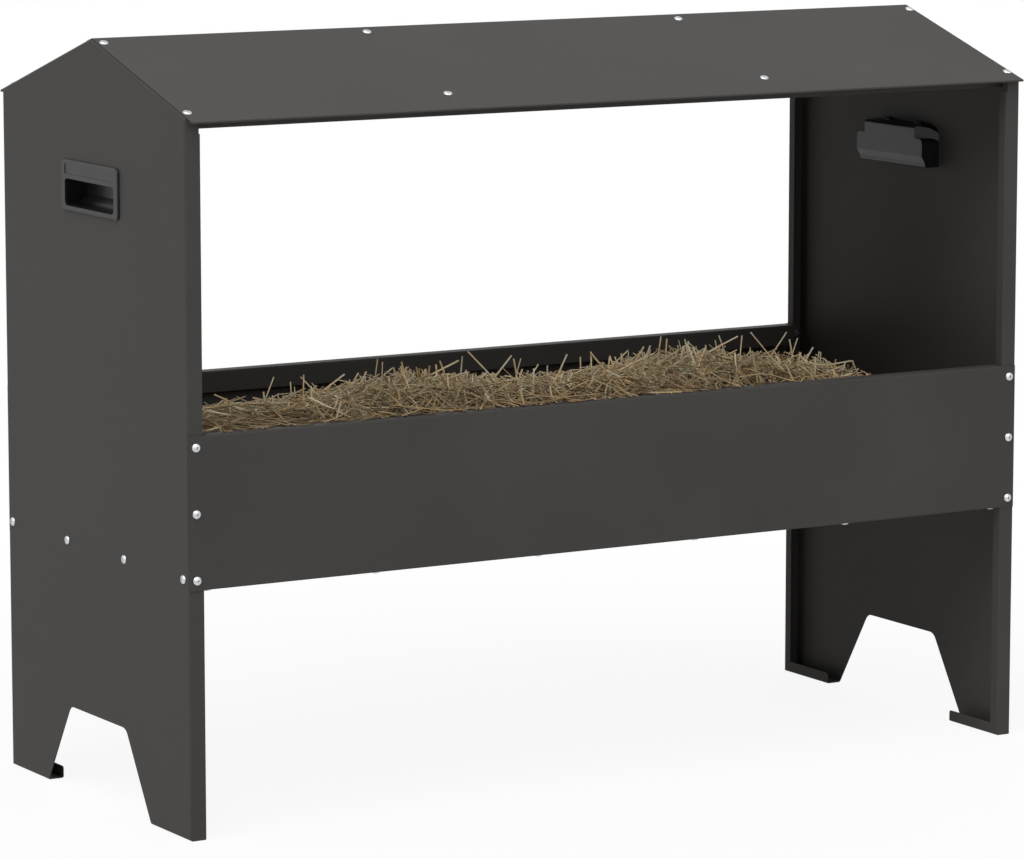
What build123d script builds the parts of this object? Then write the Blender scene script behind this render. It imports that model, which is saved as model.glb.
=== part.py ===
from build123d import *
import os
from math import atan2, cos, radians, sin, tan

# Hay feeder box: a trough between two end panels that stand on their own cut-out feet, under a ridged
# roof. Folded steel sheet throughout, held by pan-head screws and nuts, with a moulded recessed handle
# in each end. Millimetres. The origin is on the floor under the middle of the box, +X runs along its
# length, -Y is the front, +Z is up.

# Overall sizes
length = 1020.0  # over the outer faces of the two end panels
depth = 424.0  # over the front and back flanges of an end panel
height = 798.0  # floor to the ridge line of the roof
roof_pitch = 17.15  # degrees, each slope
eave_overhang = 12.0  # roof past the end panels, front and back
roof_end_inset = 3.0  # roof short of the end panels' outer faces
hem_width = 7.0  # strip folded back flat under each eave
hem_gap = 0.3  # between the strip and the roof

# Sheet and fits
sheet = 1.0  # thickness of every folded part
bend = 2.0  # outer radius of every fold
slip = 0.2  # clearance of parts that slide past each other when the box is put together

# End panels
flange = 18.0  # width of the flanges on every outer edge
side_lip = 12.0  # return lip on the front and back flanges
side_lip_stop = 15.8  # the return lips end this far below the roof's corners
foot_lip = 12.5  # return lip on the flange under each foot
foot_lip_corner = 3.0
foot_width = 90.0
arch_height = 90.0  # cut-out between the feet
arch_top_width = 131.0
arch_corner = 13.0
apex_notch = 4.0  # gap between the two gable flanges at the ridge

# Trough
trough_bottom = 256.5  # underside of the trough above the floor
trough_height = 157.5
trough_flange = 19.0  # top and bottom flanges of the front and back panels
trough_lip = 23.0  # return lip that hangs from the top flange
trough_lip_mitre = 8.0  # the lip is cut back at 45 degrees at its ends
trough_end_inset = 1.0  # front and back panels short of the end panels' outer faces
floor_flange = 22.0  # up-turned ends of the trough's floor

# Roof supports
support_end_gap = 1.0  # between a support's end and the gable flange
rail_setback = 16.7  # web of an eave rail behind the end panels' flanges
rail_flange = 20.0
rail_bottom_drop = 12.0  # web's lower edge below the roof's corner
rail_nut_gap = 0.5  # between the web and the nuts under the roof's ends
rail_tab_height = 7.0  # end tabs of the web, past those nuts
rail_tab_length = 9.0
ridge_wing = 28.0  # each wing of the ridge stiffener, down the slope
ridge_lip = 12.0

# Screws and nuts
screw_diameter = 5.0
screw_length = 8.0
hole_clearance = 0.5  # hole over screw
thread_clearance = 0.1  # nut's bore over screw
shank_sides = 6  # shanks, holes and bores are drawn with this many flats
head_diameter = 9.4
head_height = 2.7
head_rim = 0.7  # straight edge under the crown
crown_taper = 52.0  # degrees, side of the crown off the screw's axis
head_sides = 8  # flats that a round head is drawn with
nut_across_flats = 8.0
nut_height = 4.0

# Where the screws are
flange_row = flange / 2  # in from the end panels' outer faces
roof_edge_row = 11.0  # in from the end panels' flanges
ridge_row = 15.0  # out from the ridge
roof_middle = 194.0  # inner screws of the roof, out from mid-length
trough_first_row = 10.5  # above the trough's underside
trough_row_pitch = 67.5
trough_rows = 3
floor_end_rise = 10.0  # above the floor's underside
floor_end_edge = 11.0  # in from the end panels' flanges
floor_end_count = 4
floor_long_edge = 9.0  # in from the end panels' flanges
floor_long_end = 25.0  # in from the end panels' outer faces
floor_long_count = 6

# Handles
handle_height = 643.0  # middle of the bezel above the floor
bezel_width = 132.0
bezel_height = 53.0
bezel_proud = 2.8
bezel_corner = 6.0
bezel_edge = 1.2  # bevel of its outer edge
grip_width = 114.0  # finger opening
grip_bottom = -21.2  # from the middle of the bezel
grip_top = 7.0
grip_corner = 5.0
recess_bottom = 11.8  # shallow recess over the opening, from the middle of the bezel
recess_top = 22.2
recess_depth = 0.6
cup_wall = 2.0
cup_depth = 24.0
cup_width = 127.0
cup_top = 24.5  # at the panel, from the middle of the bezel
cup_corner = ((0.0, 10.0), (6.0, 4.0), (20.0, 0.0))  # its upper corners: in from the side, down from the top
ledge = 9.0  # top of the cup's full depth
ledge_corner = 6.0
belly_bottom = -11.0  # below it the cup's back slants in to the heel
heel_top = -18.5
heel_setback = 4.5
belly_radius = 4.0
heel_radius = 2.5
pocket_width = 97.0  # back of the finger room over the ledge, flared towards the bezel
pocket_top = 22.5
pocket_corner = 3.5
cup_clearance = 0.5  # between the cup and its cut-out
tab_width = 12.0
tab_height = 1.5
tab_run = 6.0
tab_spread = 30.0  # tabs from the middle of the handle

half_length = length / 2
half_depth = depth / 2
pitch = radians(roof_pitch)
trough_top = trough_bottom + trough_height
trough_face = half_depth + sheet  # outer faces of the front and back panels
floor_bottom = trough_bottom + sheet
floor_half_width = half_depth - sheet - slip
support_half_length = half_length - flange - support_end_gap
cup_bottom = grip_bottom - cup_wall


def roof_line(y, below=0.0):
    """Height at y of the line that lies below the roof's outer face by that much."""
    return height - abs(y) * tan(pitch) - below / cos(pitch)


def folded(plane, corners, run, radii=bend):
    """Sheet folded square to plane, run long; corners trace its outer face, the sheet to their left."""
    outer_face = FilletPolyline(*corners, radius=radii)
    section = make_face(offset(outer_face, amount=sheet, side=Side.LEFT, closed=True))
    return extrude(plane * section, amount=run / 2, both=True)


def block(x, y, z):
    """Box between two places on each axis, each given as a pair."""
    size = (abs(x[1] - x[0]), abs(y[1] - y[0]), abs(z[1] - z[0]))
    middle = (sum(x) / 2, sum(y) / 2, sum(z) / 2)
    return Pos(*middle) * Box(*size)


def mirrored_pairs(x_places, y_places):
    """Every (x, y) of the places and their mirror images."""
    return [(sx * x, sy * y) for sx in (-1, 1) for sy in (-1, 1) for x in x_places for y in y_places]


# Screw places: each is a location on the outer face, its own +Z pointing out of the sheet.


def place(x, y, z, outward, flat):
    """Location at a point, facing outward, with a nut's flat facing the flat direction."""
    return Plane(origin=(x, y, z), x_dir=flat, z_dir=outward).location


def roof_places(x_places, y_places):
    """Screw places on both slopes of the roof."""
    spots = []
    for x, y in mirrored_pairs(x_places, y_places):
        side = 1 if y > 0 else -1
        spots.append(place(x, y, roof_line(y), (0, side * sin(pitch), cos(pitch)), (1, 0, 0)))
    return spots


def trough_side_places(side):
    """Screw places on the front (side -1) or back (side 1) panel, into the end panels' flanges."""
    spots = []
    for x in (-half_length + flange_row, half_length - flange_row):
        for row in range(trough_rows):
            z = trough_bottom + trough_first_row + row * trough_row_pitch
            spots.append(place(x, side * trough_face, z, (0, side, 0), (0, 0, 1)))
    return spots


def floor_end_places():
    """Screw places in both end panels, into the up-turned ends of the floor."""
    first = half_depth - floor_end_edge
    pitch_y = 2 * first / (floor_end_count - 1)
    z = floor_bottom + floor_end_rise
    spots = []
    for side in (-1, 1):
        for index in range(floor_end_count):
            spots.append(place(side * half_length, index * pitch_y - first, z, (side, 0, 0), (0, 1, 0)))
    return spots


def floor_long_places():
    """Screw places under the trough, through its bottom flanges into the floor."""
    first = half_length - floor_long_end
    pitch_x = 2 * first / (floor_long_count - 1)
    spots = []
    for y in (-half_depth + floor_long_edge, half_depth - floor_long_edge):
        for index in range(floor_long_count):
            spots.append(place(index * pitch_x - first, y, trough_bottom, (0, 0, -1), (1, 0, 0)))
    return spots


roof_end_places = roof_places([half_length - flange_row], [half_depth - roof_edge_row, ridge_row])
ridge_places = roof_places([roof_middle], [ridge_row])
rail_row = half_depth - rail_setback - rail_flange / 2
eave_places = roof_places([roof_middle], [rail_row])


def small_round(diameter, sides=shank_sides):
    """Round section of a fastener or its hole, drawn with flats."""
    return RegularPolygon(diameter / 2, sides, rotation=180 / sides)


def drilled(part, spots):
    """The part with a clearance hole at each screw place."""
    hole = extrude(small_round(screw_diameter + hole_clearance), 3 * sheet, both=True)
    return part - [spot * hole for spot in spots]


def screw():
    """Pan-head screw: its head stands on the local XY plane and its shank runs down local Z."""
    shank = extrude(small_round(screw_diameter), -screw_length)
    head = small_round(head_diameter, head_sides)
    rim = extrude(head, head_rim)
    crown = extrude(head, head_height - head_rim, taper=crown_taper)
    return shank + rim + Pos(0, 0, head_rim) * crown


def nut():
    """Hexagon nut against the far side of the two sheets that its screw clamps."""
    hexagon = RegularPolygon(nut_across_flats / 2, 6, major_radius=False, rotation=30)
    bore = small_round(screw_diameter + thread_clearance)
    return Pos(0, 0, -2 * sheet - nut_height) * extrude(hexagon - bore, nut_height)


# End panels


def gable_face(inset):
    """Outline of an end panel without its feet's arch, every edge moved in by inset; local X is Y."""
    side = half_depth - inset
    below = sheet + inset
    shoulder = roof_line(side, below)
    apex = (0, roof_line(0, below))
    corners = [(-side, inset), (side, inset), (side, shoulder), apex, (-side, shoulder)]
    return make_face(Polyline(*corners, close=True))


def below_gable(edges):
    """The upright and bottom edges among those of a gable outline."""
    return [*edges.filter_by(Axis.Z), *edges.filter_by(Axis.Y)]


def arch():
    """Cut-out between the feet, through the plate and the bottom flange, tapering upwards."""
    bottom = half_depth - foot_width
    top = arch_top_width / 2
    spread = (bottom - top) / arch_height * bend
    points = [(-bottom - spread, -bend), (bottom + spread, -bend), (top, arch_height), (-top, arch_height)]
    outline = make_face(Polyline(*points, close=True))
    outline = fillet(outline.vertices().group_by(Axis.Y)[-1], arch_corner)
    return extrude(Plane.YZ.offset(half_length - flange + bend) * outline, flange)


def foot_lip_gap():
    """Gap between the feet's return lips, whose ends are upright with a rounded top corner."""
    side = half_depth - foot_width
    wide = side + 2 * foot_lip_corner
    right_half = [(side, -bend), (side, foot_lip), (wide, foot_lip), (wide, foot_lip + bend)]
    left_half = [(-y, z) for y, z in reversed(right_half)]
    outline = make_face(Polyline(*right_half, *left_half, close=True))
    lip_ends = outline.vertices().group_by(Axis.Y)[1].sort_by(Axis.X)[1:3]
    outline = fillet(lip_ends, foot_lip_corner)
    return extrude(Plane.YZ.offset(half_length - flange) * outline, bend, both=True)


def right_end_panel():
    """Folded pan: plate, flanges on every edge, return lips up the sides and over the feet."""
    inner = half_length - flange
    pan = extrude(Plane.YZ.offset(inner) * gable_face(0), flange)
    plate_edges = pan.faces().sort_by(Axis.X)[-1].edges()
    lip_edges = below_gable(pan.faces().sort_by(Axis.X)[0].edges())
    pan = fillet([*plate_edges, *lip_edges], bend)

    cavity = extrude(Plane.YZ.offset(inner + sheet) * gable_face(sheet), flange - 2 * sheet)
    plate_edges = cavity.faces().sort_by(Axis.X)[-1].edges()
    lip_edges = below_gable(cavity.faces().sort_by(Axis.X)[0].edges())
    pan -= fillet([*plate_edges, *lip_edges], bend - sheet)

    skin = (inner - bend, inner + sheet)  # the face that the lips are left of
    fold = (inner - bend, inner + bend)
    lip_side = half_depth - side_lip
    lip_top = roof_line(half_depth, sheet) - side_lip_stop
    gable = extrude(Plane.YZ.offset(skin[0]) * gable_face(sheet), skin[1] - skin[0])
    pan -= block(skin, (-lip_side, lip_side), (foot_lip, lip_top))
    pan -= gable & block(skin, (-depth, depth), (lip_top, height))
    notch_low = floor_bottom - slip
    notch_high = floor_bottom + floor_flange + slip
    flange_end = roof_line(half_depth, 2 * sheet)
    for side in (-1, 1):
        across = (side * (lip_side - sheet), side * (half_depth + sheet))
        pan -= block(fold, across, (lip_top, flange_end))
        pan -= block(fold, across, (notch_low, notch_high))
    notch = (-apex_notch / 2, apex_notch / 2)
    pan -= block((inner - bend, half_length - bend), notch, (roof_line(0, 3 * sheet), height))
    pan -= [arch(), foot_lip_gap(), handle_cutout()]
    return drilled(pan, roof_end_places + trough_side_places(-1) + trough_side_places(1) + floor_end_places())


# Trough


def trough_back_panel():
    """Folded panel over the end panels' back flanges; the flanges stop short between the lips."""
    inner = trough_face - trough_flange
    corners = [
        (inner, trough_bottom), (trough_face, trough_bottom), (trough_face, trough_top),
        (inner, trough_top), (inner, trough_top - trough_lip),
    ]
    panel_end = half_length - trough_end_inset
    flange_end = half_length - flange - 2 * support_end_gap
    panel = folded(Plane.YZ, corners, 2 * flange_end)
    lip_end = trough_top - trough_lip
    lip_corners = panel.edges().filter_by(Axis.Y).filter_by_position(Axis.Z, lip_end - sheet, lip_end + sheet)
    panel = chamfer(lip_corners, trough_lip_mitre)
    for side in (-1, 1):
        ends = (side * flange_end, side * panel_end)
        panel += block(ends, (half_depth, trough_face), (trough_bottom, trough_top))
    return drilled(panel, trough_side_places(1) + floor_long_places())


def trough_floor():
    """Plate on the bottom flanges, its ends turned up against the end panels."""
    end = half_length - sheet
    flange_top = floor_bottom + floor_flange
    corners = [(-end, flange_top), (-end, floor_bottom), (end, floor_bottom), (end, flange_top)]
    plate = folded(Plane.XZ, corners, 2 * floor_half_width)
    notch_x = (end - bend, half_length)
    notch_y = (half_depth - bend - slip, half_depth)
    notch = block(notch_x, notch_y, (floor_bottom - sheet, flange_top + sheet))
    notch += mirror(notch, about=Plane.XZ)
    plate -= notch + mirror(notch, about=Plane.YZ)
    return drilled(plate, floor_end_places() + floor_long_places())


# Roof


def roof_sheet():
    """One sheet folded along the ridge, with a flat hem under each eave."""
    eave = half_depth + eave_overhang
    hem_thickness = 2 * sheet + hem_gap
    hem_nose = eave - hem_thickness * sin(pitch)
    hem_end = hem_nose - hem_width * cos(pitch)
    hem_radius = sheet + hem_gap / 3
    back = [(y, roof_line(y, hem_thickness)) for y in (hem_end, hem_nose)] + [(eave, roof_line(eave))]
    front = [(-y, z) for y, z in reversed(back)]
    radii = [hem_radius, hem_radius, bend, hem_radius, hem_radius]
    sheet_part = folded(Plane.YZ, [*back, (0, height), *front], length - 2 * roof_end_inset, radii)
    return drilled(sheet_part, roof_end_places + ridge_places + eave_places)


def ridge_stiffener():
    """Folded strip under the ridge, with a lip turned down along each wing."""
    wing = ridge_wing * cos(pitch)
    edge = roof_line(wing, sheet)
    back = [(wing, edge - ridge_lip), (wing, edge)]
    front = [(-y, z) for y, z in reversed(back)]
    corners = [*back, (0, roof_line(0, sheet)), *front]
    return drilled(folded(Plane.YZ, corners, 2 * support_half_length), ridge_places)


def front_eave_rail():
    """Angle under the eave: a flange against the roof and a hanging web, longer under the gable flanges."""
    web = half_depth - rail_setback
    inner = web - rail_flange
    bottom = roof_line(half_depth, sheet) - rail_bottom_drop
    corners = [(-inner, roof_line(inner, sheet)), (-web, roof_line(web, sheet)), (-web, bottom)]
    rail = folded(Plane.YZ, corners, 2 * support_half_length)
    nut_side = half_length - flange_row - nut_across_flats / 2 - rail_nut_gap
    tab_end = support_half_length + rail_tab_length
    under_flange = roof_line(web, 2 * sheet) - slip
    for end, top in ((nut_side, under_flange), (tab_end, bottom + rail_tab_height)):
        for side in (-1, 1):
            ends = (side * support_half_length, side * end)
            rail += block(ends, (-web, -web + sheet), (bottom, top))
    return drilled(rail, eave_places)


# Handles


def cup_mouth(spread):
    """Outline of the grip cup where it meets the bezel, moved out by spread."""
    side = cup_width / 2 + spread
    top = cup_top + spread
    right_half = [(side, cup_bottom - spread), *((side - run, top - drop) for run, drop in cup_corner)]
    left_half = [(-y, z) for y, z in reversed(right_half)]
    outline = make_face(Polyline(*right_half, *left_half, close=True))
    return Plane.YZ.offset(half_length) * Pos(0, handle_height) * outline


def handle_cutout():
    """Hole in the end panel that the handle's cup passes through."""
    return extrude(cup_mouth(cup_clearance), 2 * sheet, both=True)


def cup_form(inset):
    """The grip cup behind the panel, every wall moved in by inset: a wide cup, a flared pocket over it."""
    front = half_length
    back = half_length - cup_depth + inset
    heel = back + heel_setback
    slant_rise = inset * tan(atan2(heel_setback, belly_bottom - heel_top) / 2)
    low = cup_bottom + inset
    high = ledge - inset
    side = cup_width / 2 - inset
    upright = Plane.XZ * Pos(0, handle_height)

    belly = FilletPolyline(
        (front, low), (heel, low), (heel, heel_top + slant_rise), (back, belly_bottom + slant_rise),
        (back, high), (front, high),
        radius=[heel_radius - inset, belly_radius + inset, belly_radius - inset, 0],
    )
    section = make_face([belly, Line(belly @ 1, belly @ 0)])
    cup = extrude(upright * section, amount=side, both=True)
    cup = fillet(cup.edges().filter_by(Axis.X).group_by(Axis.Z)[-1], ledge_corner - inset)

    crown = FilletPolyline(
        (front, 0), (back, 0), (back, pocket_top - inset), (front, cup_top - inset),
        radius=[0, pocket_corner - inset],
    )
    section = make_face([crown, Line(crown @ 1, crown @ 0)])
    pocket_side = pocket_width / 2 - inset
    plan = Polyline((front, -side), (front, side), (back, pocket_side), (back, -pocket_side), close=True)
    pocket = extrude(upright * section, amount=side, both=True)
    pocket &= extrude(Pos(0, 0, handle_height) * make_face(plan), cup_top)
    pocket &= extrude(cup_mouth(-inset), -cup_depth)
    return cup + pocket


def snap_tab(y, base, up):
    """Wedge behind the panel that keeps the handle in its cut-out."""
    catch = half_length - sheet - slip
    points = [
        (catch, base - up * cup_wall / 2), (catch, base + up * tab_height),
        (catch - tab_run, base), (catch - tab_run, base - up * cup_wall / 2),
    ]
    wedge = make_face(Polyline(*points, close=True))
    return Pos(0, y, 0) * extrude(Plane.XZ * wedge, amount=tab_width / 2, both=True)


def right_handle():
    """Moulded recessed handle: a bezel on the panel, a stepped cup behind it, and four snap tabs."""
    face = Plane.YZ.offset(half_length) * Pos(0, handle_height)
    bezel = extrude(face * RectangleRounded(bezel_width, bezel_height, bezel_corner), bezel_proud)
    bezel = chamfer(bezel.faces().sort_by(Axis.X)[-1].edges(), bezel_edge)
    handle = bezel + (cup_form(0) - cup_form(cup_wall))
    grip_height = grip_top - grip_bottom
    grip = RectangleRounded(grip_width, grip_height, grip_corner)
    grip_plane = face * Pos(0, (grip_top + grip_bottom) / 2)
    handle -= extrude(grip_plane * grip, bezel_proud)
    recess_plane = face * Pos(0, (recess_top + recess_bottom) / 2, bezel_proud)
    handle -= extrude(recess_plane * Rectangle(grip_width, recess_top - recess_bottom), -recess_depth)
    for y in (-tab_spread, tab_spread):
        handle += snap_tab(y, handle_height + cup_top, 1)
        handle += snap_tab(y, handle_height + cup_bottom, -1)
    return handle


def write(node, shape):
    """Write one node; solids of a group stay separate."""
    export_step(shape, f"parts/{node}.step")


def write_fasteners(group, spots):
    """A group's screws in one node and its nuts in another."""
    write(f"{group}_screws", Compound([spot * screw() for spot in spots]))
    write(f"{group}_nuts", Compound([spot * nut() for spot in spots]))


os.makedirs("parts", exist_ok=True)
end_panel = right_end_panel()
handle = right_handle()
back_panel = trough_back_panel()
front_rail = front_eave_rail()
write("right_end_panel", end_panel)
write("left_end_panel", mirror(end_panel, about=Plane.YZ))
write("right_handle", handle)
write("left_handle", mirror(handle, about=Plane.YZ))
write("trough_back_panel", back_panel)
write("trough_front_panel", mirror(back_panel, about=Plane.XZ))
write("trough_floor", trough_floor())
write("roof_sheet", roof_sheet())
write("ridge_stiffener", ridge_stiffener())
write("front_eave_rail", front_rail)
write("back_eave_rail", mirror(front_rail, about=Plane.XZ))
write_fasteners("roof_end", roof_end_places)
write_fasteners("ridge", ridge_places)
write_fasteners("eave", eave_places)
write_fasteners("trough_front", trough_side_places(-1))
write_fasteners("trough_back", trough_side_places(1))
write_fasteners("floor_end", floor_end_places())
write_fasteners("floor_long", floor_long_places())
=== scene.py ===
import math
import random

import bmesh
import bpy
from mathutils import Matrix, Vector, noise


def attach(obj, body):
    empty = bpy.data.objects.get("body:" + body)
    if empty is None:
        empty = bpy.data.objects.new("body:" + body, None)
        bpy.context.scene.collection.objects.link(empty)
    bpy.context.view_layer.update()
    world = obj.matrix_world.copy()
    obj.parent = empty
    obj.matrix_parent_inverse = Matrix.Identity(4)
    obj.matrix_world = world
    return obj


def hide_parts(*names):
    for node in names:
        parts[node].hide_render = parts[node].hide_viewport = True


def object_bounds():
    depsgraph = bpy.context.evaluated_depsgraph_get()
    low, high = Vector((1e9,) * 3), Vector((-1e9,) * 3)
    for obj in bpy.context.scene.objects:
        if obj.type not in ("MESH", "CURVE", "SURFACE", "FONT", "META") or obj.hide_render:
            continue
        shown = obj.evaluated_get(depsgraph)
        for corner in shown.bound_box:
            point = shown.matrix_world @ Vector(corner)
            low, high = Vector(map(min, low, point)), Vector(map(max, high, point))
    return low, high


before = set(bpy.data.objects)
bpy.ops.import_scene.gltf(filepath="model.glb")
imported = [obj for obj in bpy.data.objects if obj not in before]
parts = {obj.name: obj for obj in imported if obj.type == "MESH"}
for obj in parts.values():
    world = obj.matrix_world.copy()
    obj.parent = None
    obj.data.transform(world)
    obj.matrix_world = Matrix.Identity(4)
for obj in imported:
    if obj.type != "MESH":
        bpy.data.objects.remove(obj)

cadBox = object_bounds()
body = "root"
print("feeder: frame loaded,", len(parts), "parts")


# camera, a little above the trough and to the left of the front

cameraSetup = {
    "place": (-2.755, -4.636, 1.174),
    "turn": -30.65,  # degrees from straight at the front, towards the right end
    "tilt": 8.64,  # degrees down
    "lens": 176.5,
    "sensor": 36.0,
    "farthest": 100,
}


def setUpCamera():
    data = bpy.data.cameras.new("camera")
    data.sensor_fit = "HORIZONTAL"
    data.sensor_width = cameraSetup["sensor"]
    data.lens = cameraSetup["lens"]
    data.clip_end = cameraSetup["farthest"]
    camera = bpy.data.objects.new("camera", data)
    camera.location = cameraSetup["place"]
    camera.rotation_euler = (math.radians(90 - cameraSetup["tilt"]), 0, math.radians(cameraSetup["turn"]))
    bpy.context.scene.collection.objects.link(camera)
    bpy.context.scene.camera = camera


setUpCamera()
print("feeder: camera set")


# shader helpers

noiseRange = (0.3, 0.7)  # noise seldom leaves it
toneRange = (0.35, 0.65)  # noise from here to here goes from the dark tone to the light one


def startMaterial(name):
    material = bpy.data.materials.new(name)
    material.use_nodes = True
    tree = material.node_tree
    return material, tree, tree.nodes["Principled BSDF"]


def srgb(red, green, blue):
    # 0-255 screen colour to the linear colour that a socket takes
    def linear(value):
        value /= 255
        return value / 12.92 if value <= 0.04045 else ((value + 0.055) / 1.055) ** 2.4
    return (linear(red), linear(green), linear(blue), 1)


def addNoise(tree, scale, detail=2, roughness=0.5):
    place = tree.nodes.new("ShaderNodeTexCoord")
    grain = tree.nodes.new("ShaderNodeTexNoise")
    grain.inputs["Scale"].default_value = scale
    grain.inputs["Detail"].default_value = detail
    grain.inputs["Roughness"].default_value = roughness
    tree.links.new(place.outputs["Object"], grain.inputs["Vector"])
    return grain.outputs["Fac"]


def ramp(tree, source, stops):
    node = tree.nodes.new("ShaderNodeValToRGB")
    elements = node.color_ramp.elements
    while len(elements) < len(stops):
        elements.new(0.5)
    for element, (position, colour) in zip(elements, stops):
        element.position = position
        element.color = colour
    tree.links.new(source, node.inputs["Fac"])
    return node.outputs["Color"]


def twoTone(tree, source, look):
    low, high = toneRange
    return ramp(tree, source, [(low, look["dark"]), (high, look["light"])])


def arithmetic(tree, operation, *values):
    # each value is a number or a socket
    node = tree.nodes.new("ShaderNodeMath")
    node.operation = operation
    for socket, value in zip(node.inputs, values):
        if isinstance(value, (int, float)):
            socket.default_value = value
        else:
            tree.links.new(value, socket)
    return node.outputs[0]


def mapRange(tree, source, before, after, curve="LINEAR"):
    node = tree.nodes.new("ShaderNodeMapRange")
    node.interpolation_type = curve
    for name, value in zip(("From Min", "From Max", "To Min", "To Max"), (*before, *after)):
        node.inputs[name].default_value = value
    tree.links.new(source, node.inputs["Value"])
    return node.outputs["Result"]


def bump(tree, source, depth, strength):
    node = tree.nodes.new("ShaderNodeBump")
    node.inputs["Distance"].default_value = depth
    node.inputs["Strength"].default_value = strength
    tree.links.new(source, node.inputs["Height"])
    return node.outputs["Normal"]


# finishes, with every scale in waves per metre

coatLook = {
    "dark": srgb(62, 60, 58),
    "light": srgb(68, 66, 64),
    "specular": 0.06,
    "cloudScale": 5,
    "cloudShare": 0.55,
    "speckScale": 2600,
    "speckShare": 0.45,
    "peelScale": 700,  # orange peel of the powder
    "peelDepth": 0.00006,
    "peelStrength": 0.6,
    "roughness": (0.44, 0.56),
}


def makeCoat():
    look = coatLook
    material, tree, shader = startMaterial("powderCoat")
    cloud = addNoise(tree, look["cloudScale"], detail=3)
    peel = addNoise(tree, look["peelScale"], detail=1)
    speck = addNoise(tree, look["speckScale"], roughness=0.7)
    specks = arithmetic(tree, "MULTIPLY", speck, look["speckShare"])
    tone = arithmetic(tree, "MULTIPLY_ADD", cloud, look["cloudShare"], specks)
    tree.links.new(twoTone(tree, tone, look), shader.inputs["Base Color"])
    tree.links.new(mapRange(tree, cloud, noiseRange, look["roughness"]), shader.inputs["Roughness"])
    shader.inputs["Specular IOR Level"].default_value = look["specular"]
    tree.links.new(bump(tree, peel, look["peelDepth"], look["peelStrength"]), shader.inputs["Normal"])
    return material


zincLook = {
    "dark": srgb(176, 177, 180),
    "light": srgb(222, 223, 224),
    "spangleScale": 900,
    "spangleDepth": 0.00003,
    "spangleStrength": 0.3,
    "roughness": (0.22, 0.4),
}


def makeZinc():
    look = zincLook
    material, tree, shader = startMaterial("zincPlate")
    spangle = addNoise(tree, look["spangleScale"], detail=3, roughness=0.6)
    tree.links.new(twoTone(tree, spangle, look), shader.inputs["Base Color"])
    tree.links.new(mapRange(tree, spangle, noiseRange, look["roughness"]), shader.inputs["Roughness"])
    shader.inputs["Metallic"].default_value = 1
    relief = bump(tree, spangle, look["spangleDepth"], look["spangleStrength"])
    tree.links.new(relief, shader.inputs["Normal"])
    return material


plasticLook = {
    "dark": srgb(19, 19, 19),
    "light": srgb(25, 25, 24),
    "specular": 0.3,
    "cloudScale": 30,
    "grainScale": 1500,
    "grainDepth": 0.00004,
    "grainStrength": 0.5,
    "roughness": (0.28, 0.38),
}


def makePlastic():
    look = plasticLook
    material, tree, shader = startMaterial("mouldedPlastic")
    grain = addNoise(tree, look["grainScale"], roughness=0.6)
    cloud = addNoise(tree, look["cloudScale"])
    tree.links.new(twoTone(tree, cloud, look), shader.inputs["Base Color"])
    tree.links.new(mapRange(tree, cloud, noiseRange, look["roughness"]), shader.inputs["Roughness"])
    shader.inputs["Specular IOR Level"].default_value = look["specular"]
    tree.links.new(bump(tree, grain, look["grainDepth"], look["grainStrength"]), shader.inputs["Normal"])
    return material


coat = makeCoat()
zinc = makeZinc()
plastic = makePlastic()


def dress(node, material):
    for slot in parts[node].material_slots:
        slot.link = "OBJECT"
        slot.material = material


sheetParts = [
    "left_end_panel", "right_end_panel", "trough_front_panel", "trough_back_panel", "trough_floor",
    "roof_sheet", "ridge_stiffener", "front_eave_rail", "back_eave_rail",
]
for node in sheetParts:
    dress(node, coat)
for node in ("left_handle", "right_handle"):
    dress(node, plastic)
print("feeder: sheets and handles finished")


# screws and nuts: a turned head with a cross recess, and a chamfered nut, at every CAD screw place

screwLook = {
    "headRadius": 0.0047,
    "headHeight": 0.0027,
    "rim": 0.0006,  # upright edge of the head, below its dome
    "domeSteps": 6,
    "shankRadius": 0.0025,
    "shankLength": 0.008,
    "threadStart": 0.002,  # below the head
    "threadTurns": 7,
    "threadRoot": 0.86,  # share of the shank's radius
    "tip": 0.8,  # the same
    "segments": 28,
    "recessReach": 0.0024,
    "recessWidth": 0.0011,
    "recessDepth": 0.0016,
    "recessTaper": 0.5,
}
nutLook = {
    "apothem": 0.004,
    "height": 0.004,
    "bore": 0.00255,
    "below": 0.002,  # two sheets between the head and the nut
    "chamfer": 30,
    "chamferStart": 1.02,  # share of the apothem, just outside the flats
    "faceShare": 0.995,  # the flat face ends just inside the chamfer
    "edge": 0.00002,  # least height between the two
    "segments": 36,
}
fastenerLook = {
    "seed": 11,
    "smooth": 35,  # degrees, sharper edges stay sharp
    "weld": 1e-6,  # corners closer than this are one
    "crownDepth": 1e-5,  # corners this close to a head's top are its crown
}


def toMesh(name, shape):
    mesh = bpy.data.meshes.new(name)
    shape.to_mesh(mesh)
    shape.free()
    return mesh


def meshObject(name, mesh):
    thing = bpy.data.objects.new(name, mesh)
    bpy.context.scene.collection.objects.link(thing)
    return thing


def turned(profile, segments):
    # closed solid of revolution from (radius, height) points that start and end on the axis
    shape = bmesh.new()
    rings = []
    for radius, height in profile:
        if radius == 0:
            rings.append([shape.verts.new((0, 0, height))])
            continue
        ring = []
        for step in range(segments):
            angle = 2 * math.pi * step / segments
            ring.append(shape.verts.new((radius * math.cos(angle), radius * math.sin(angle), height)))
        rings.append(ring)
    for above, under in zip(rings, rings[1:]):
        for step in range(segments):
            after = (step + 1) % segments
            if len(above) == 1:
                shape.faces.new((above[0], under[step], under[after]))
            elif len(under) == 1:
                shape.faces.new((above[step], under[0], above[after]))
            else:
                shape.faces.new((above[step], under[step], under[after], above[after]))
    bmesh.ops.recalc_face_normals(shape, faces=shape.faces)
    return shape


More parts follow.
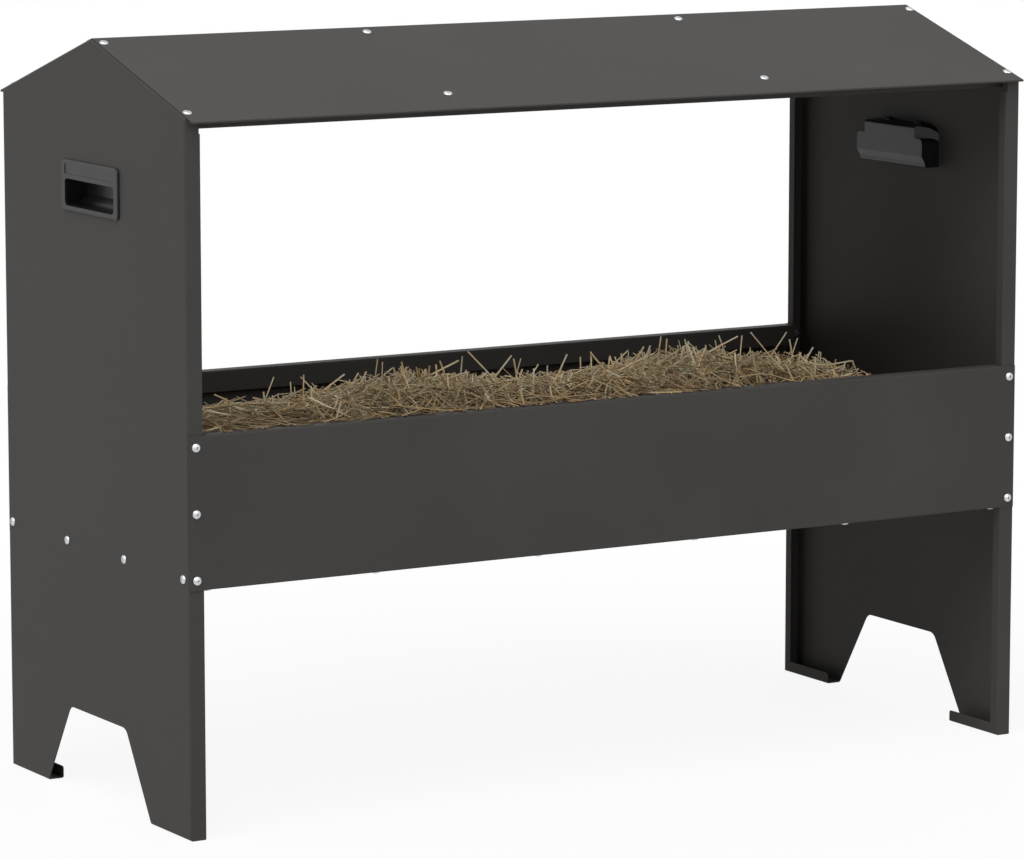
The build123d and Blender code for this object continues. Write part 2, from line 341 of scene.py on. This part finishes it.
def screwProfile():
    look = screwLook
    profile = [(0, look["headHeight"])]
    for step in range(1, look["domeSteps"] + 1):
        angle = math.pi / 2 * step / look["domeSteps"]
        radius = look["headRadius"] * math.sin(angle)
        height = look["rim"] + (look["headHeight"] - look["rim"]) * math.cos(angle)
        profile.append((radius, height))
    shank = look["shankRadius"]
    profile += [(look["headRadius"], 0), (shank, 0)]
    pitch = (look["shankLength"] - look["threadStart"]) / look["threadTurns"]
    for turn in range(look["threadTurns"]):
        top = -look["threadStart"] - pitch * turn
        profile += [(shank, top), (shank * look["threadRoot"], top - pitch / 2)]
    profile += [(shank * look["tip"], -look["shankLength"]), (0, -look["shankLength"])]
    return profile


def crossCutter():
    look = screwLook
    cutter = bmesh.new()
    size = (look["recessReach"] * 2, look["recessWidth"], look["recessDepth"] * 2)
    for turn in (45, 135):
        place = Matrix.Rotation(math.radians(turn), 4, "Z") @ Matrix.Translation((0, 0, look["headHeight"]))
        made = bmesh.ops.create_cube(cutter, size=1, matrix=place @ Matrix.Diagonal((*size, 1)))
        for vert in made["verts"]:
            if vert.co.z < look["headHeight"]:
                vert.co.x *= look["recessTaper"]
                vert.co.y *= look["recessTaper"]
    return cutter


def screwMesh():
    screw = meshObject("screwPattern", toMesh("screwPattern", turned(screwProfile(), screwLook["segments"])))
    cutter = meshObject("recessCutter", toMesh("recessCutter", crossCutter()))
    cut = screw.modifiers.new("recess", "BOOLEAN")
    cut.object = cutter
    cut.operation = "DIFFERENCE"
    cut.solver = "EXACT"
    cut.use_self = True
    bpy.context.view_layer.update()
    graph = bpy.context.evaluated_depsgraph_get()
    done = bpy.data.meshes.new_from_object(screw.evaluated_get(graph))
    for used in (screw, cutter):
        bpy.data.objects.remove(used)
    return done


def nutMesh():
    look = nutLook
    shape = bmesh.new()
    touch = look["apothem"] * look["chamferStart"]
    top = -look["below"]
    bottom = top - look["height"]
    halfFlat = math.pi / 6  # angle from the middle of a flat to a corner
    rings = [[], [], [], [], [], []]
    for step in range(look["segments"]):
        angle = 2 * math.pi * step / look["segments"]
        fromFlat = (angle + halfFlat) % (2 * halfFlat) - halfFlat
        outer = look["apothem"] / math.cos(fromFlat)
        drop = max(outer - touch, 0) * math.tan(math.radians(look["chamfer"])) + look["edge"]
        face = min(touch, outer) * look["faceShare"]
        levels = [
            (look["bore"], top), (face, top), (outer, top - drop),
            (outer, bottom + drop), (face, bottom), (look["bore"], bottom),
        ]
        for ring, (radius, height) in zip(rings, levels):
            ring.append(shape.verts.new((radius * math.cos(angle), radius * math.sin(angle), height)))
    for above, under in zip(rings, rings[1:] + rings[:1]):
        for step in range(look["segments"]):
            after = (step + 1) % look["segments"]
            shape.faces.new((above[step], under[step], under[after], above[after]))
    bmesh.ops.recalc_face_normals(shape, faces=shape.faces)
    return toMesh("nut", shape)


def looseParts(node):
    # the separate solids of a CAD node, each as a list of its corners
    shape = bmesh.new()
    shape.from_mesh(parts[node].data)
    bmesh.ops.remove_doubles(shape, verts=shape.verts, dist=fastenerLook["weld"])
    seen = set()
    found = []
    for start in shape.verts:
        if start in seen:
            continue
        seen.add(start)
        stack = [start]
        island = []
        while stack:
            vert = stack.pop()
            island.append(vert.co.copy())
            for edge in vert.link_edges:
                other = edge.other_vert(vert)
                if other not in seen:
                    seen.add(other)
                    stack.append(other)
        found.append(island)
    shape.free()
    return found


# the way each group's screw heads face
outward = {
    "trough_front": lambda seat: Vector((0, -1, 0)),
    "trough_back": lambda seat: Vector((0, 1, 0)),
    "floor_end": lambda seat: Vector((math.copysign(1, seat.x), 0, 0)),
    "floor_long": lambda seat: Vector((0, 0, -1)),
}
roofPitch = math.radians(17.15)
for group in ("roof_end", "ridge", "eave"):
    outward[group] = lambda seat: Vector((0, math.copysign(math.sin(roofPitch), seat.y), math.cos(roofPitch)))


def fastenerPlaces(group):
    # the middle of each CAD screw's seat, under its head
    places = []
    for corners in looseParts(f"{group}_screws"):
        out = outward[group](sum(corners, Vector()) / len(corners))
        heights = [corner.dot(out) for corner in corners]
        lowest = max(heights) - fastenerLook["crownDepth"]
        crown = [corner for corner, height in zip(corners, heights) if height > lowest]
        places.append((sum(crown, Vector()) / len(crown) - out * screwLook["headHeight"], out))
    return places


def joinCopies(name, pattern, places, spins):
    shape = bmesh.new()
    for (seat, out), spin in zip(places, spins):
        turn = out.to_track_quat("Z", "Y").to_matrix().to_4x4()
        copy = pattern.copy()
        copy.transform(Matrix.Translation(seat) @ turn @ Matrix.Rotation(spin, 4, "Z"))
        shape.from_mesh(copy)
        bpy.data.meshes.remove(copy)
    return meshObject(name, toMesh(name, shape))


def shadeSmooth(thing, degrees):
    for face in thing.data.polygons:
        face.use_smooth = True
    thing.data.set_sharp_from_angle(angle=math.radians(degrees))


def makeFasteners():
    chance = random.Random(fastenerLook["seed"])
    screwPattern = screwMesh()
    nutPattern = nutMesh()
    for group in outward:
        places = fastenerPlaces(group)
        for kind, pattern in (("screws", screwPattern), ("nuts", nutPattern)):
            spins = [0 if kind == "nuts" else chance.uniform(0, math.pi / 2) for place in places]
            piece = joinCopies(f"{group}_{kind}_turned", pattern, places, spins)
            shadeSmooth(piece, fastenerLook["smooth"])
            piece.data.materials.append(zinc)
            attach(piece, body)
            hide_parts(f"{group}_{kind}")


makeFasteners()
print("feeder: screws and nuts in")


# hay

hayRoom = {
    # the space it fills in the trough
    "left": -0.4995,
    "right": 0.4995,
    "front": -0.190,
    "back": 0.190,
    "bottom": 0.2590,
    # how far single stalks may reach
    "endGap": 0.002,
    "frontStop": -0.188,
    "backStop": 0.1895,
    # the front panel's top flange, which hay that comes near its height lies over
    "flangeTop": 0.414,
    "flangeFront": -0.2085,
    "flangeBack": -0.1905,
    "flangeNear": 0.008,
    "flangeGap": 0.0004,
}
hayShape = {
    "ridge": 0.02,  # the crest's Y
    "backDrop": 0.062,  # the back edge is this far below the crest
    "frontCurve": 1.2,
    "backCurve": 1.15,
    "lumps": ((14, 3, 0.005), (45, 8, 0.004)),  # waves per metre, seed, height
    "lumpsAtEdge": 0.4,  # share of the lumps' height that is left at this distance from the middle
    "edge": 0.21,
    "edgeRise": 10,  # how fast it grows inwards, per metre
    "smooth": 50,  # degrees, sharper edges stay sharp
}
# height of the loose hay's top along the trough, (X, Z): at its crest, and beside the front flange
hayCrest = [
    (-0.50, 0.393), (-0.44, 0.399), (-0.37, 0.405), (-0.28, 0.401),
    (0.36, 0.400), (0.415, 0.392), (0.45, 0.376), (0.50, 0.352),
]
hayFront = [
    (-0.50, 0.407), (0.14, 0.409), (0.22, 0.405), (0.29, 0.394), (0.36, 0.374), (0.50, 0.350),
]
# it lies in two tufts with the same rise over the crest, X from the tuft's left end
tuftStarts = (-0.305, 0.056)
tuftRise = [
    (0.0, 0.0), (0.09, 0.008), (0.13, 0.016), (0.165, 0.020), (0.21, 0.014), (0.26, 0.008), (0.36, 0.0),
]


def alongProfile(profile, place):
    # smooth steps between the (place, value) pairs
    for (before, low), (after, high) in zip(profile, profile[1:]):
        if place <= after:
            part = max((place - before) / (after - before), 0)
            part = part * part * (3 - 2 * part)
            return low + (high - low) * part
    return profile[-1][1]


def hayTop(x, y):
    look = hayShape
    crest = alongProfile(hayCrest, x) + sum(alongProfile(tuftRise, x - start) for start in tuftStarts)
    ridge = look["ridge"]
    if y < ridge:
        part = min((ridge - y) / (ridge - hayRoom["front"]), 1)
        base = crest + (alongProfile(hayFront, x) - crest) * part ** look["frontCurve"]
    else:
        part = min((y - ridge) / (hayRoom["back"] - ridge), 1)
        base = crest - look["backDrop"] * part ** look["backCurve"]
    lumps = 0
    for waves, seed, height in look["lumps"]:
        lumps += noise.noise(Vector((x * waves, y * waves, seed))) * height
    return base + lumps * min(1, look["lumpsAtEdge"] + (look["edge"] - abs(y)) * look["edgeRise"])


strawLook = {
    "streakScale": 260,
    "streakShare": 0.35,
    "toneShare": 0.8,
    "toneStart": -0.1,
    "tones": [
        (0.0, srgb(60, 47, 34)), (0.22, srgb(112, 92, 67)), (0.45, srgb(158, 138, 106)),
        (0.75, srgb(197, 176, 143)), (1.0, srgb(239, 222, 192)),
    ],
    "patchScale": 60,
    "patches": [(0.38, (1.0, 0.89, 0.73, 1)), (0.62, (0.85, 0.95, 0.99, 1))],  # browner, greener
    "roughness": 0.6,
    "specular": 0.35,
    "streakDepth": 0.0002,
    "streakStrength": 0.4,
}


def makeStraw():
    look = strawLook
    material, tree, shader = startMaterial("driedHay")
    tone = tree.nodes.new("ShaderNodeAttribute")
    tone.attribute_name = "tone"
    streak = addNoise(tree, look["streakScale"], detail=3, roughness=0.6)
    stalkTone = arithmetic(tree, "MULTIPLY_ADD", tone.outputs["Fac"], look["toneShare"], look["toneStart"])
    mixed = arithmetic(tree, "MULTIPLY_ADD", streak, look["streakShare"], stalkTone)
    tinted = tree.nodes.new("ShaderNodeVectorMath")
    tinted.operation = "MULTIPLY"
    patch = addNoise(tree, look["patchScale"], roughness=0.6)
    tree.links.new(ramp(tree, mixed, look["tones"]), tinted.inputs[0])
    tree.links.new(ramp(tree, patch, look["patches"]), tinted.inputs[1])
    tree.links.new(tinted.outputs[0], shader.inputs["Base Color"])
    shader.inputs["Roughness"].default_value = look["roughness"]
    shader.inputs["Specular IOR Level"].default_value = look["specular"]
    tree.links.new(bump(tree, streak, look["streakDepth"], look["streakStrength"]), shader.inputs["Normal"])
    return material


bedLook = {
    "seed": 5,
    "columns": 130,
    "rows": 50,
    "below": 0.019,  # the packed hay lies this far under the loose top
    "roughScale": 160,
    "roughHeight": 0.003,
    # painted shade: the packed hay's top is painted nearly black, for the shade in the gaps between the loose
    # stalks
    "tone": 0.02,
    "toneSpread": 0.2,
    "footTone": 0.1,
}


def hayBed():
    # packed hay under the loose top, a closed mound with an uneven surface, painted dark for the shade
    # between the loose stalks above it
    look = bedLook
    room = hayRoom
    chance = random.Random(look["seed"])
    shape = bmesh.new()
    toneLayer = shape.verts.layers.float.new("tone")
    grid = []
    for column in range(look["columns"] + 1):
        x = room["left"] + (room["right"] - room["left"]) * column / look["columns"]
        line = []
        for row in range(look["rows"] + 1):
            y = room["front"] + (room["back"] - room["front"]) * row / look["rows"]
            rough = noise.noise(Vector((x * look["roughScale"], y * look["roughScale"], 1)))
            vert = shape.verts.new((x, y, hayTop(x, y) - look["below"] + rough * look["roughHeight"]))
            # painted shade: near-black tone for the shade between the stalks above
            vert[toneLayer] = look["tone"] + look["toneSpread"] * chance.random()
            line.append(vert)
        grid.append(line)
    for line, following in zip(grid, grid[1:]):
        for row in range(look["rows"]):
            shape.faces.new((line[row], following[row], following[row + 1], line[row + 1]))
    rim = [line[0] for line in grid]
    rim += grid[-1][1:]
    rim += [line[-1] for line in reversed(grid[:-1])]
    rim += grid[0][-2:0:-1]
    foot = []
    for vert in rim:
        low = shape.verts.new((vert.co.x, vert.co.y, room["bottom"]))
        low[toneLayer] = look["footTone"]
        foot.append(low)
    for corners in zip(rim, foot, foot[1:] + foot[:1], rim[1:] + rim[:1]):
        shape.faces.new(corners)
    shape.faces.new(list(reversed(foot)))
    return meshObject("hay_bed", toMesh("hay_bed", shape))


stemLook = {
    "seed": 6,
    # count, length, width, flatness, lying flat
    "stems": (4900, (0.040, 0.115), (0.00055, 0.00110), 0.75, False),
    "longStems": (130, (0.08, 0.14), (0.00055, 0.00110), 0.8, True),
    "blades": (300, (0.040, 0.115), (0.0012, 0.0018), 0.25, False),
    "sides": 4,
    "steps": 3,
    "overFlange": 0.010,  # some lie on the front flange
    "combedUpTo": -0.3,  # at the left end of the trough most lie along it
    "combedShare": 0.6,
    "combedHeading": (0.05, 0.35),
    # how far the two ends lie below the hay's top
    "flatDrops": ((0.003, 0.004), (0.004, 0.004)),
    "frontDrops": ((-0.021, 0.006), (0.004, 0.026)),
    "plainDrops": ((-0.011, 0.006), (0.0, 0.030)),
    "pokingDrops": ((-0.012, 0.0), (0.012, 0.036)),
    "frontUpTo": -0.12,
    "frontLength": (0.3, 1.0),
    "frontBackwards": 0.8,  # share of those that would hang over the front that point back instead
    "plainShare": 0.8,  # of the rest, the others poke out
    "pokingLength": 0.75,
    "bow": 0.05,
    "sag": 0.035,
    # painted shade in the stalks' colour: from the front of the trough to its back they go from dark to pale,
    # with the front about a fifth as light, for the shade by the front board; and the lower a stalk's end
    # lies under the hay's top, the darker it is painted, for the shade between the stalks
    "tones": [(-0.21, 0.19), (-0.12, 0.25), (-0.06, 0.53), (-0.02, 0.85), (0.03, 0.97), (0.19, 0.97)],
    "toneSpread": 0.18,
    "paintedShadeWithDepth": 7,
    "palest": 1.2,
}
tipLook = {
    # short stiff ends that stand up along the crest
    "count": 260,
    "left": -0.32,
    "right": 0.44,
    "crowding": 0.8,
    "acrossCrest": (-0.03, 0.075),
    "lean": (0.5, 0.35),
    "length": (0.004, 0.015),
    "width": (0.00055, 0.00110),
    "root": 0.012,
    "sides": 4,
    "tone": (1.12, 0.15),
    "palest": 1.3,
}
stickLook = {
    # clean pale stalks that stand out of the rest
    "width": (0.0007, 0.00105),
    "sides": 6,
    "lift": 0.002,
    "root": 0.022,
    "sway": 0.15,
    "kink": 0.0008,
    "tone": (1.22, 0.12),
    "palest": 1.35,
}
perMetre = 1000  # the two tables are in millimetres and degrees
# the ones in a tuft: X from the tuft's left end, Y, length, lean to the right
tuftStalks = [
    (-2, 10, 29, 26), (25, -120, 50, -64), (43, -120, 20, -39), (48, 40, 18, -2), (56, 30, 21, 0),
    (71, 30, 24, -44), (82, 30, 28, 58), (118, 40, 20, 38), (125, 30, 16, 29), (136, -60, 32, -23),
    (147, 20, 18, 0), (154, 50, 24, 8), (161, -100, 18, -7), (170, 30, 10, -16), (181, 30, 16, -12),
    (201, 20, 42, 68), (227, 40, 17, -5), (232, 30, 22, -20), (237, 10, 26, 7), (270, -90, 25, 0),
    (277, 0, 50, -45), (287, 20, 31, 40), (307, 10, 24, 13), (315, 20, 23, -14), (333, 20, 17, 39),
    (360, 30, 14, 3), (303, -80, 25, 78), (312, -50, 28, 78), (378, 50, 16, 79),
]
# the few at the hay's two ends, X from the middle of the trough
endStalks = [
    (-369, 30, 48, 88), (-323, 30, 22, 104), (-334, 20, 30, -65), (-281, 30, 28, -74), (-301, 20, 13, 0),
    (-394, -60, 24, -76), (-350, -20, 24, -68), (-468, -150, 40, 80), (404, 0, 34, 86), (433, -20, 20, -30),
    (409, -80, 24, 70),
]


def clampX(x):
    return min(max(x, hayRoom["left"] + hayRoom["endGap"]), hayRoom["right"] - hayRoom["endGap"])


def keepInside(point, width):
    # between the end and back panels, on the front flange where the hay reaches it, never through the sheet
    room = hayRoom
    point.x = clampX(point.x)
    reaches = hayTop(point.x, room["front"]) > room["flangeTop"] - room["flangeNear"]
    point.y = min(max(point.y, room["flangeFront"] if reaches else room["frontStop"]), room["backStop"])
    if point.y < room["flangeBack"]:
        point.z = max(point.z, room["flangeTop"] + width + room["flangeGap"])
    return point


def addStalk(shape, toneLayer, points, width, tone, sides, flatten=1.0):
    rings = []
    count = len(points)
    for index, point in enumerate(points):
        ahead = (points[min(index + 1, count - 1)] - points[max(index - 1, 0)]).normalized()
        across = ahead.cross(Vector((0, 0, 1)))
        if across.length < 0.05:  # the stalk stands upright
            across = ahead.cross(Vector((0, 1, 0)))
        across.normalize()
        up = across.cross(ahead)
        ring = []
        for side in range(sides):
            angle = 2 * math.pi * side / sides
            offset = across * math.cos(angle) * width + up * math.sin(angle) * width * flatten
            vert = shape.verts.new(point + offset)
            vert[toneLayer] = tone
            ring.append(vert)
        rings.append(ring)
    for above, under in zip(rings, rings[1:]):
        for side in range(sides):
            after = (side + 1) % sides
            shape.faces.new((above[side], above[after], under[after], under[side]))
    shape.faces.new(list(reversed(rings[0])))
    shape.faces.new(rings[-1])


def looseStem(chance, shape, toneLayer, lengths, widths, flatten, flat):
    look = stemLook
    x = chance.uniform(hayRoom["left"], hayRoom["right"])
    y = chance.uniform(hayRoom["front"] - look["overFlange"], hayRoom["back"])
    length = chance.uniform(*lengths)
    width = chance.uniform(*widths)
    heading = chance.uniform(0, 2 * math.pi)
    combed = x < look["combedUpTo"] and chance.random() < look["combedShare"]
    if combed:
        heading = chance.gauss(*look["combedHeading"])
    along = Vector((math.cos(heading), math.sin(heading), 0)) * length * 0.5
    kind = chance.random()
    if combed or flat:
        drops = [chance.gauss(*drop) for drop in look["flatDrops"]]
    elif y < look["frontUpTo"]:
        drops = [chance.uniform(*drop) for drop in look["frontDrops"]]
        along *= chance.uniform(*look["frontLength"])
        if along.y < 0 and chance.random() < look["frontBackwards"]:
            along = -along  # springs up and back from the front edge
    elif kind < look["plainShare"]:
        drops = [chance.uniform(*drop) for drop in look["plainDrops"]]
    else:
        drops = [chance.uniform(*drop) for drop in look["pokingDrops"]]
        along *= look["pokingLength"]
    ends = []
    for way, drop in zip((1, -1), drops):
        endX, endY = clampX(x + along.x * way), y + along.y * way
        ends.append(keepInside(Vector((endX, endY, hayTop(endX, endY) - drop)), width))
    tip, root = ends
    across = Vector((-math.sin(heading), math.cos(heading), 0))
    bow = chance.gauss(0, look["bow"]) * length
    sag = chance.gauss(0, look["sag"]) * length
    points = []
    for step in range(look["steps"] + 1):
        part = step / look["steps"]
        bulge = math.sin(part * math.pi)
        point = root.lerp(tip, part) + across * bow * bulge
        point.z += sag * bulge
        points.append(keepInside(point, width))
    # painted shade: darker towards the front board, and darker the deeper the stalk's end lies
    tone = chance.gauss(alongProfile(look["tones"], y), look["toneSpread"]) - drops[0] * look["paintedShadeWithDepth"]
    addStalk(shape, toneLayer, points, width, min(max(tone, 0), look["palest"]), look["sides"], flatten)


def crestTip(chance, shape, toneLayer):
    look = tipLook
    x = look["left"] + (look["right"] - look["left"]) * chance.random() ** look["crowding"]
    y = chance.uniform(*look["acrossCrest"])
    leanX, leanY = look["lean"]
    lean = Vector((chance.gauss(0, leanX), chance.gauss(0, leanY), 1)).normalized()
    base = Vector((x, y, hayTop(x, y)))
    top = base + lean * chance.uniform(*look["length"])
    root = base - lean * look["root"]
    tone = min(max(chance.gauss(*look["tone"]), 0), look["palest"])
    addStalk(shape, toneLayer, [root, base, top], chance.uniform(*look["width"]), tone, look["sides"])


def stiffStalk(chance, shape, toneLayer, x, y, length, lean):
    look = stickLook
    width = chance.uniform(*look["width"])
    foot = Vector((x, y, hayTop(x, y) + look["lift"]))
    sway = chance.uniform(-look["sway"], look["sway"])
    way = Vector((math.sin(math.radians(lean)), sway, math.cos(math.radians(lean)))).normalized()
    tip = keepInside(foot + way * length, width)
    root = keepInside(foot - way * look["root"], width)
    kink = Vector((chance.uniform(-1, 1), chance.uniform(-1, 1), 0)) * look["kink"]
    tone = min(chance.gauss(*look["tone"]), look["palest"])
    addStalk(shape, toneLayer, [root, foot + kink, tip], width, tone, look["sides"])


def looseHay():
    chance = random.Random(stemLook["seed"])
    shape = bmesh.new()
    toneLayer = shape.verts.layers.float.new("tone")
    for kind in ("stems", "longStems", "blades"):
        count, lengths, widths, flatten, flat = stemLook[kind]
        for stem in range(count):
            looseStem(chance, shape, toneLayer, lengths, widths, flatten, flat)
    for tip in range(tipLook["count"]):
        crestTip(chance, shape, toneLayer)
    for start in tuftStarts:
        for x, y, length, lean in tuftStalks:
            x = start + x / perMetre
            stiffStalk(chance, shape, toneLayer, x, y / perMetre, length / perMetre, lean)
    for x, y, length, lean in endStalks:
        stiffStalk(chance, shape, toneLayer, x / perMetre, y / perMetre, length / perMetre, lean)
    return meshObject("hay_stems", toMesh("hay_stems", shape))


def makeHay():
    straw = makeStraw()
    for piece in (hayBed(), looseHay()):
        piece.data.materials.append(straw)
        shadeSmooth(piece, hayShape["smooth"])
        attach(piece, body)


makeHay()
print("feeder: hay in the trough")


# floor, light

studioLook = {
    "floorRadius": 30.0,
    "floorSegments": 96,
    "floorDrop": 0.0005,
    "floorColour": (0.78, 0.78, 0.78, 1),
    "floorGlow": 0.9,  # how much of the floor by the feet shows as plain white, the rest takes the shadow
    "glowFrom": 0.4,  # the glow grows to full between these distances from the middle
    "glowTo": 1.6,
    "ambient": 0.2,
    "lampSize": 6.0,
    "aim": (0, 0, 0.4),
    # place, power
    "key": ((-4.2, -2.7, 7.6), 590),
    "frontFill": ((1.0, -8.0, 5.0), 290),
    "leftFill": ((-8.5, 0.5, 4.0), 112),
    "backFill": ((5.0, 6.5, 3.6), 320),
}
white = (1, 1, 1, 1)


def seenDirectly(tree):
    # 1 for camera, mirror and see-through rays, 0 for the rays that light things
    rays = tree.nodes.new("ShaderNodeLightPath").outputs
    first = arithmetic(tree, "MAXIMUM", rays["Is Camera Ray"], rays["Is Glossy Ray"])
    return arithmetic(tree, "MAXIMUM", first, rays["Is Transmission Ray"])


def makeWorld():
    world = bpy.data.worlds.new("studio")
    bpy.context.scene.world = world
    world.use_nodes = True
    tree = world.node_tree
    background = tree.nodes["Background"]
    background.inputs["Color"].default_value = white
    strength = mapRange(tree, seenDirectly(tree), (0, 1), (studioLook["ambient"], 1))
    tree.links.new(strength, background.inputs["Strength"])


def makePaleFloor():
    look = studioLook
    material = bpy.data.materials.new("paleFloor")
    material.use_nodes = True
    tree = material.node_tree
    tree.nodes.remove(tree.nodes["Principled BSDF"])
    matt = tree.nodes.new("ShaderNodeBsdfDiffuse")
    matt.inputs["Color"].default_value = look["floorColour"]
    glow = tree.nodes.new("ShaderNodeEmission")
    glow.inputs["Color"].default_value = white
    place = tree.nodes.new("ShaderNodeNewGeometry")
    distance = tree.nodes.new("ShaderNodeVectorMath")
    distance.operation = "LENGTH"
    tree.links.new(place.outputs["Position"], distance.inputs[0])
    reach = (look["glowFrom"], look["glowTo"])
    fade = mapRange(tree, distance.outputs["Value"], reach, (look["floorGlow"], 1), "SMOOTHSTEP")
    mix = tree.nodes.new("ShaderNodeMixShader")
    tree.links.new(arithmetic(tree, "MULTIPLY", seenDirectly(tree), fade), mix.inputs["Fac"])
    tree.links.new(matt.outputs[0], mix.inputs[1])
    tree.links.new(glow.outputs[0], mix.inputs[2])
    tree.links.new(mix.outputs[0], tree.nodes["Material Output"].inputs["Surface"])
    return material


def makeFloor():
    look = studioLook
    shape = bmesh.new()
    bmesh.ops.create_circle(shape, cap_ends=True, segments=look["floorSegments"], radius=look["floorRadius"])
    floor = meshObject("floor", toMesh("floor", shape))
    floor.location.z = cadBox[0][2] - look["floorDrop"]
    floor.data.materials.append(makePaleFloor())


def makeLamp(name):
    place, power = studioLook[name]
    data = bpy.data.lights.new(name, "AREA")
    data.shape = "SQUARE"
    data.size = studioLook["lampSize"]
    data.energy = power
    lamp = bpy.data.objects.new(name, data)
    lamp.location = place
    lamp.rotation_euler = (Vector(studioLook["aim"]) - Vector(place)).to_track_quat("-Z", "Y").to_euler()
    bpy.context.scene.collection.objects.link(lamp)
    return lamp


makeWorld()
makeFloor()
for lampName in ("key", "frontFill", "leftFill"):
    makeLamp(lampName)
makeLamp("backFill").visible_glossy = False  # lights the far sides with no shine across the roof
bpy.context.scene.view_settings.view_transform = "Standard"
print("feeder: floor and light set")
